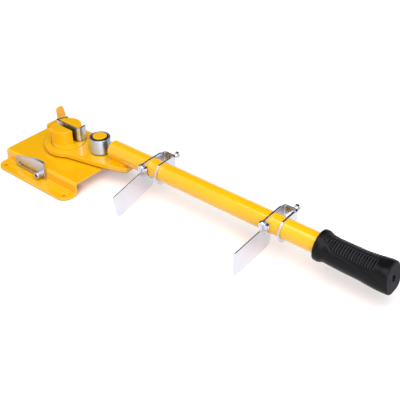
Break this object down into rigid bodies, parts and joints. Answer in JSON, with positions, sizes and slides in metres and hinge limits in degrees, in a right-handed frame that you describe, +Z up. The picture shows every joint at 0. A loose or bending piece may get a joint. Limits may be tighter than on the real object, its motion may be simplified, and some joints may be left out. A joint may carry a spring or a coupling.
{
  "type": "lever strip bender",
  "caption": "Bench lever bender for flat strip: folded yellow base, slotted round former with bright liner, roller lever with rubber grip and sliding length stops.",
  "frame": {"origin": "centre of the four bench holes, on the bench under the foot flanges", "axes": "+X along the lever towards the grip in the stored pose, +Y to the rear, +Z up"},
  "size_m": [0.7295, 0.2, 0.0781],
  "materials": {
    "yellow_paint": "glossy golden-yellow powder coat",
    "chrome": "polished hard chrome",
    "zinc": "bright zinc plate",
    "steel": "plain oiled steel",
    "bronze": "plain bearing bronze",
    "black_rubber": "matt black moulded rubber"
  },
  "bodies": {
    "base": {"base_plate": "yellow_paint", "pivot_post": "yellow_paint", "post_bolt": "steel", "post_washer": "steel", "post_dowels": "steel", "former": "yellow_paint", "former_screws": "steel", "former_liner": "chrome", "thrust_washer": "bronze", "lock_nut": "steel", "lock_washer": "zinc"},
    "lever": {"lever_plate": "yellow_paint", "handle_tube": "yellow_paint", "tube_welds": "yellow_paint", "roller_pin": "yellow_paint", "roller_washer": "steel", "grip": "black_rubber"},
    "roller": {"roller": "chrome", "roller_bush": "bronze"},
    "angle_stop": {"angle_stop": "zinc"},
    "lock_screw": {"lock_screw": "zinc"},
    "inner_stop": {"inner_bracket": "zinc", "inner_set_nut": "zinc", "inner_flap_bolt": "zinc", "inner_flap_washer": "zinc", "inner_flap_nut": "zinc"},
    "inner_set_screw": {"inner_set_screw": "zinc"},
    "inner_flap": {"inner_flap": "zinc"},
    "outer_stop": {"outer_bracket": "zinc", "outer_set_nut": "zinc", "outer_flap_bolt": "zinc", "outer_flap_washer": "zinc", "outer_flap_nut": "zinc"},
    "outer_set_screw": {"outer_set_screw": "zinc"},
    "outer_flap": {"outer_flap": "zinc"}
  },
  "joints": [
    {"name": "lever_swing", "type": "hinge", "parent": "base", "child": "lever", "pos_m": [-0.009, 0.008, 0.0313], "axis": [0, 0, 1], "range_deg": [-37, 113]},
    {"name": "roller_spin", "type": "hinge", "parent": "lever", "child": "roller", "pos_m": [0.063, 0.0206, 0.05], "axis": [0, 0, 1], "continuous": true},
    {"name": "angle_stop_slide", "type": "slide", "parent": "base", "child": "angle_stop", "axis": [1, 0, 0], "range_m": [0, 0.05]},
    {"name": "lock_screw_turn", "type": "hinge", "parent": "base", "child": "lock_screw", "pos_m": [0.006, -0.0794, 0.013], "axis": [0, -1, 0], "range_deg": [0, 720]},
    {"name": "inner_stop_slide", "type": "slide", "parent": "lever", "child": "inner_stop", "axis": [1, 0, 0], "range_m": [-0.036, 0.09]},
    {"name": "inner_set_screw_turn", "type": "hinge", "parent": "inner_stop", "child": "inner_set_screw", "pos_m": [0.20275, 0.0536, 0.0584], "axis": [0, 1, 0], "range_deg": [0, 720]},
    {"name": "inner_flap_swing", "type": "hinge", "parent": "inner_stop", "child": "inner_flap", "pos_m": [0.1933, -0.00569, 0.06361], "axis": [-1, 0, 0], "range_deg": [0, 125]},
    {"name": "outer_stop_slide", "type": "slide", "parent": "lever", "child": "outer_stop", "axis": [1, 0, 0], "range_m": [-0.09, 0.05]},
    {"name": "outer_set_screw_turn", "type": "hinge", "parent": "outer_stop", "child": "outer_set_screw", "pos_m": [0.44875, 0.0536, 0.0584], "axis": [0, 1, 0], "range_deg": [0, 720]},
    {"name": "outer_flap_swing", "type": "hinge", "parent": "outer_stop", "child": "outer_flap", "pos_m": [0.4393, -0.00569, 0.06361], "axis": [-1, 0, 0], "range_deg": [-2, 125]}
  ]
}
